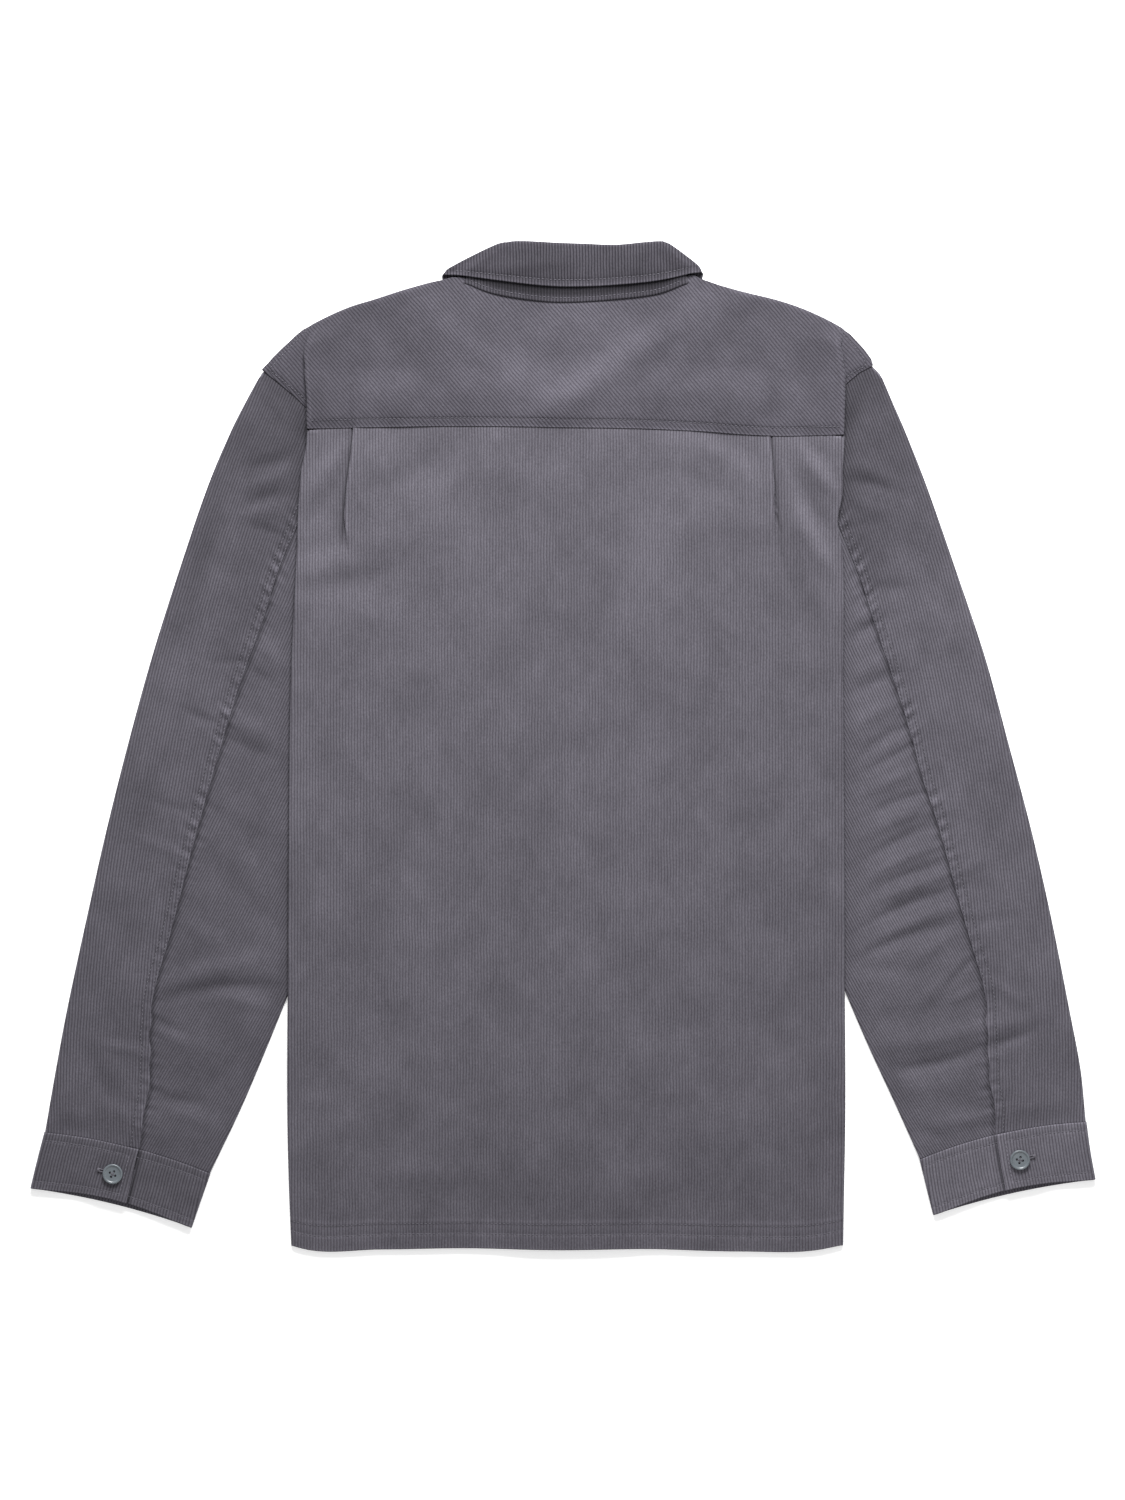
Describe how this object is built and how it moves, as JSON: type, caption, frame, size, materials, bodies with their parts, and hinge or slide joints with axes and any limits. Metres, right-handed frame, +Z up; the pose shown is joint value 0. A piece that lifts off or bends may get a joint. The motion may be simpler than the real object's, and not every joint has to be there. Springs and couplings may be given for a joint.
{
  "type": "shacket",
  "caption": "Fine-wale corduroy shirt-jacket with a pleated back, yoke, collar and buttoned cuffs, laid flat face down with its sleeves beside and under the body.",
  "frame": {"origin": "centre of the bounding box's underside, on the surface that the garment lies on", "axes": "+X across the sleeves to the right of the picture, +Y from the hem to the collar, +Z up, away from the surface"},
  "size_m": [0.8512, 0.811, 0.0126],
  "materials": {
    "corduroy": "cotton corduroy, fine wale",
    "corduroy_yoke": "cotton corduroy, wales cut on the slant",
    "corduroy_collar": "cotton corduroy, fine wale",
    "corduroy_front": "cotton corduroy, fine wale",
    "corduroy_sleeve": "cotton corduroy, fine wale",
    "corduroy_cuff": "cotton corduroy, fine wale, doubled",
    "button_plastic": "satin moulded plastic"
  },
  "bodies": {
    "root": {"back_panel": "corduroy", "back_yoke": "corduroy_yoke", "collar_fall": "corduroy_collar", "collar_stand": "corduroy_collar", "front_left": "corduroy_front", "front_right": "corduroy_front", "front_band": "corduroy_front", "sleeve_left": "corduroy_sleeve", "sleeve_right": "corduroy_sleeve", "cuff_left": "corduroy_cuff", "cuff_right": "corduroy_cuff", "cuff_button_left": "button_plastic", "cuff_button_right": "button_plastic", "front_button_1": "button_plastic", "front_button_2": "button_plastic", "front_button_3": "button_plastic", "front_button_4": "button_plastic", "front_button_5": "button_plastic", "front_button_6": "button_plastic"}
  },
  "joints": []
}
